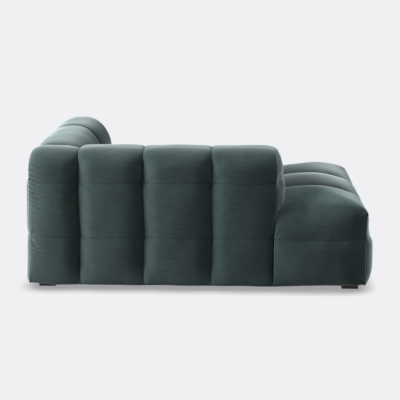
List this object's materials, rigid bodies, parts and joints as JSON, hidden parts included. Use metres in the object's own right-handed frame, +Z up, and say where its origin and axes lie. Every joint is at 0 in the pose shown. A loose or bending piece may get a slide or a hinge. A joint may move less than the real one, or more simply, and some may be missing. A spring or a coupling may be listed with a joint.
{
  "type": "daybed",
  "caption": "One-armed upholstered daybed with a low back, a long seat that runs past the arm, padded vertical channels in velvet, and low dark wood feet.",
  "frame": {"origin": "on the floor, under the middle of the overall box", "axes": "+Z up; +Y towards the back, so the foot end of the seat is at -Y; the arm is on the -X side and the +X side is open"},
  "size_m": [1.0024, 1.714, 0.7008],
  "materials": {
    "velvet": "matte",
    "foam": "matte",
    "felt": "matte",
    "webbing": "matte",
    "dust_cloth": "matte",
    "dark_wood": "satin",
    "frame_timber": "matte",
    "plywood": "matte",
    "hardboard": "matte",
    "zinc_steel": "satin",
    "spring_steel": "satin",
    "brass": "satin",
    "glide_plastic": "matte"
  },
  "bodies": {
    "root": {"arm_cover_corner": "velvet", "arm_cover_rear": "velvet", "arm_cover_middle": "velvet", "arm_cover_front": "velvet", "arm_cover_end": "velvet", "back_cover_arm_side": "velvet", "back_cover_open_side": "velvet", "back_cover_end": "velvet", "seat_cover_arm_side": "velvet", "seat_cover_middle": "velvet", "seat_cover_open_side": "velvet", "arm_pad_corner": "foam", "arm_pad_rear": "foam", "arm_pad_middle": "foam", "arm_pad_front": "foam", "back_pad_arm_side": "foam", "back_pad_open_side": "foam", "seat_pad_arm_side": "foam", "seat_pad_middle": "foam", "seat_pad_open_side": "foam", "seat_core_foam": "foam", "seat_felt": "felt", "back_webbing": "webbing", "dust_cover": "dust_cloth", "foot_rear_arm_side": "dark_wood", "foot_rear_open_side": "dark_wood", "foot_front_arm_side": "dark_wood", "foot_front_open_side": "dark_wood", "base_rail_front": "frame_timber", "base_rail_rear": "frame_timber", "base_rail_arm_side": "frame_timber", "base_rail_inner": "frame_timber", "base_rail_open_side": "frame_timber", "base_cross_rail_front": "frame_timber", "base_cross_rail_rear": "frame_timber", "base_spacers": "frame_timber", "base_corner_plates": "plywood", "extension_deck": "plywood", "arm_sill": "plywood", "arm_top_board": "plywood", "arm_rib_front": "plywood", "arm_rib_middle": "plywood", "arm_rib_rear": "plywood", "back_sill": "plywood", "back_top_board": "plywood", "back_rib_arm_side": "plywood", "back_rib_middle": "plywood", "back_rib_open_side": "plywood", "arm_panel_outer": "hardboard", "arm_panel_inner": "hardboard", "back_panel_outer": "hardboard", "foot_bolts": "zinc_steel", "foot_tee_nuts": "zinc_steel", "base_screws": "zinc_steel", "arm_frame_bolts": "zinc_steel", "back_frame_bolts": "zinc_steel", "spring_clips": "zinc_steel", "seat_springs": "spring_steel", "frame_inserts": "brass", "foot_glides": "glide_plastic"}
  },
  "joints": []
}
